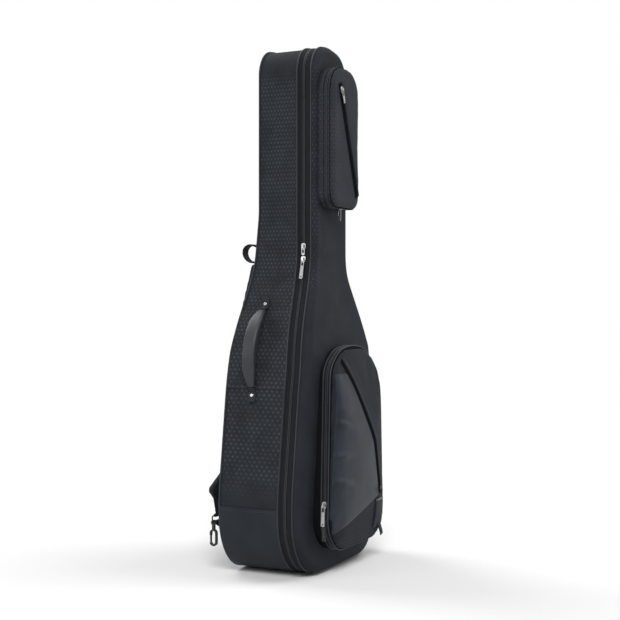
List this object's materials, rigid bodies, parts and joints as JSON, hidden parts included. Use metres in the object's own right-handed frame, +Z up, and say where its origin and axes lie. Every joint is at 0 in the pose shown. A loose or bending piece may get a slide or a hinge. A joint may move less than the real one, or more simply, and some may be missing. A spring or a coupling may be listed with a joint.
{
  "type": "padded guitar gig bag",
  "caption": "Padded bag for an acoustic guitar: a deep zipped case with book lid, domed pockets, side handle, haul loop and padded shoulder straps.",
  "frame": {"origin": "on the floor, under the middle of the bag's overall width and depth", "axes": "+Z up along the neck, -Y towards the front with the pockets, +X to the right as seen from the front, the side of the fabric spine"},
  "size_m": [0.427, 0.2924, 1.1289],
  "materials": {
    "shell_fabric": "matte woven",
    "guard_leather": "fine grained, satin",
    "panel_leather": "soft grained, satin",
    "handle_leather": "smooth, satin",
    "piping": "smooth, satin",
    "zip_tape": "ribbed tape with nylon coil",
    "bright_metal": "polished",
    "black_metal": "satin black",
    "webbing": "ribbed webbing",
    "strap_pad": "quilted, matte",
    "plush": "short plush pile",
    "foot_rubber": "matte"
  },
  "bodies": {
    "case": {"back_panel": "shell_fabric", "side_gusset": "shell_fabric", "base_guard": "guard_leather", "base_feet": "foot_rubber", "back_piping": "piping", "gusset_piping": "piping", "main_zip_case": "zip_tape", "handle_panel": "guard_leather", "handle_tabs": "handle_leather", "handle_rivets": "bright_metal", "strap_yoke": "guard_leather", "case_lining": "plush", "neck_cradle": "plush", "neck_strap": "webbing", "end_pad": "plush", "shoulder_strap_left": "strap_pad", "shoulder_strap_right": "strap_pad", "strap_webbing": "webbing", "strap_anchors": "webbing", "strap_rings": "bright_metal"},
    "lid": {"lid_panel": "shell_fabric", "lid_piping": "piping", "main_zip_lid": "zip_tape", "lid_lining": "plush", "spine_strip": "shell_fabric", "upper_pocket_wall": "shell_fabric", "upper_wall_zip": "zip_tape", "lower_pocket_wall": "shell_fabric", "lower_wall_zip": "zip_tape"},
    "lower_cover": {"lower_pocket_cover": "shell_fabric", "lower_pocket_zip": "zip_tape", "leather_panel": "panel_leather", "slash_zip_lower": "zip_tape", "slash_flap_lower": "guard_leather", "pocket_strap": "webbing", "pocket_strap_bar": "bright_metal"},
    "upper_cover": {"upper_pocket_cover": "shell_fabric", "upper_pocket_zip": "zip_tape", "slash_zip_upper": "zip_tape", "slash_flap_upper": "guard_leather"},
    "side_handle": {"side_handle": "handle_leather"},
    "haul_loop": {"haul_loop": "webbing"},
    "snap_hook_left": {"snap_hook_left": "black_metal"},
    "snap_gate_left": {"snap_gate_left": "black_metal"},
    "snap_hook_right": {"snap_hook_right": "black_metal"},
    "snap_gate_right": {"snap_gate_right": "black_metal"},
    "main_slider_upper": {"main_slider_upper": "bright_metal"},
    "main_pull_upper": {"main_pull_upper": "bright_metal"},
    "main_slider_lower": {"main_slider_lower": "bright_metal"},
    "main_pull_lower": {"main_pull_lower": "bright_metal"},
    "pocket_slider_front": {"pocket_slider_front": "bright_metal"},
    "pocket_pull_front": {"pocket_pull_front": "bright_metal"},
    "pocket_slider_rear": {"pocket_slider_rear": "bright_metal"},
    "pocket_pull_rear": {"pocket_pull_rear": "bright_metal"},
    "perimeter_slider": {"perimeter_slider": "bright_metal"},
    "perimeter_pull": {"perimeter_pull": "bright_metal"},
    "slash_slider_upper": {"slash_slider_upper": "bright_metal"},
    "slash_pull_upper": {"slash_pull_upper": "bright_metal"},
    "slash_slider_lower": {"slash_slider_lower": "bright_metal"},
    "slash_pull_lower": {"slash_pull_lower": "bright_metal"}
  },
  "joints": [
    {"name": "lid_open", "type": "hinge", "parent": "case", "child": "lid", "pos_m": [0.211, -0.038, 0.165], "axis": [-0.1396, 0, 0.9902], "range_deg": [0, 110]},
    {"name": "lower_pocket_open", "type": "hinge", "parent": "lid", "child": "lower_cover", "pos_m": [0, -0.114, 0.052], "axis": [1, 0, 0], "range_deg": [0, 75]},
    {"name": "upper_pocket_open", "type": "hinge", "parent": "lid", "child": "upper_cover", "pos_m": [0.073, -0.081, 0.916], "axis": [0, 0, 1], "range_deg": [0, 110]},
    {"name": "side_handle_tilt", "type": "hinge", "parent": "case", "child": "side_handle", "pos_m": [-0.19016, 0.037, 0.37991], "axis": [0.3059, 0, 0.9521], "range_deg": [-20, 20]},
    {"name": "haul_loop_swing", "type": "hinge", "parent": "case", "child": "haul_loop", "pos_m": [0, 0.08751, 0.676], "axis": [1, 0, 0], "range_deg": [-35, 35]},
    {"name": "hook_left_swing", "type": "hinge", "parent": "case", "child": "snap_hook_left", "pos_m": [-0.1835, 0.129, 0.106], "axis": [1, 0, 0], "range_deg": [-20, 60]},
    {"name": "gate_left_open", "type": "hinge", "parent": "snap_hook_left", "child": "snap_gate_left", "pos_m": [-0.1835, 0.1355, 0.084], "axis": [-1, 0, 0], "range_deg": [0, 22]},
    {"name": "hook_right_swing", "type": "hinge", "parent": "case", "child": "snap_hook_right", "pos_m": [0.1835, 0.129, 0.106], "axis": [1, 0, 0], "range_deg": [-20, 60]},
    {"name": "gate_right_open", "type": "hinge", "parent": "snap_hook_right", "child": "snap_gate_right", "pos_m": [0.1835, 0.1355, 0.084], "axis": [-1, 0, 0], "range_deg": [0, 22]},
    {"name": "main_slider_upper_run", "type": "slide", "parent": "case", "child": "main_slider_upper", "axis": [0, 0, 1], "range_m": [0, 0.35]},
    {"name": "main_slider_lower_run", "type": "hinge", "parent": "case", "child": "main_slider_lower", "pos_m": [-0.263, -0.034, 0.68405], "axis": [0, 1, 0], "range_deg": [0, 6]},
    {"name": "pocket_slider_front_run", "type": "slide", "parent": "lid", "child": "pocket_slider_front", "axis": [0.1006, 0.0279, 0.9945], "range_m": [0, 0.24]},
    {"name": "pocket_slider_rear_run", "type": "hinge", "parent": "lid", "child": "pocket_slider_rear", "pos_m": [-0.08756, -0.11189, 0.12112], "axis": [0, -0.9996, 0.028], "range_deg": [0, 38]},
    {"name": "perimeter_slider_run", "type": "slide", "parent": "lid", "child": "perimeter_slider", "axis": [1, 0, 0], "range_m": [-0.035, 0.035]},
    {"name": "slash_slider_upper_run", "type": "slide", "parent": "upper_cover", "child": "slash_slider_upper", "axis": [0.3571, 0, -0.9341], "range_m": [0, 0.225]},
    {"name": "slash_slider_lower_run", "type": "slide", "parent": "lower_cover", "child": "slash_slider_lower", "axis": [-0.3063, -0.0394, 0.9511], "range_m": [0, 0.06]},
    {"name": "main_pull_upper_swing", "type": "hinge", "parent": "main_slider_upper", "child": "main_pull_upper", "pos_m": [-0.08575, -0.034, 0.6894], "axis": [0, 1, 0], "range_deg": [0, 150]},
    {"name": "main_pull_lower_swing", "type": "hinge", "parent": "main_slider_lower", "child": "main_pull_lower", "pos_m": [-0.08715, -0.034, 0.66178], "axis": [0, 1, 0], "range_deg": [0, 140]},
    {"name": "pocket_pull_front_swing", "type": "hinge", "parent": "pocket_slider_front", "child": "pocket_pull_front", "pos_m": [-0.15141, -0.11119, 0.15309], "axis": [-0.0028, 0.9996, -0.0277], "range_deg": [0, 150]},
    {"name": "pocket_pull_rear_swing", "type": "hinge", "parent": "pocket_slider_rear", "child": "pocket_pull_rear", "pos_m": [-0.15031, -0.11194, 0.12256], "axis": [-0.0014, 0.9996, -0.0279], "range_deg": [0, 15]},
    {"name": "perimeter_pull_swing", "type": "hinge", "parent": "perimeter_slider", "child": "perimeter_pull", "pos_m": [-0.0016, -0.081, 0.77225], "axis": [0, -1, 0], "range_deg": [-80, 80]},
    {"name": "slash_pull_upper_swing", "type": "hinge", "parent": "slash_slider_upper", "child": "slash_pull_upper", "pos_m": [-0.03343, -0.103, 1.02643], "axis": [-0.9341, 0, -0.3571], "range_deg": [0, 150]},
    {"name": "slash_pull_lower_swing", "type": "hinge", "parent": "slash_slider_lower", "child": "slash_pull_lower", "pos_m": [0.08668, -0.14392, 0.15648], "axis": [-0.9434, -0.1212, -0.3088], "range_deg": [0, 150]}
  ]
}
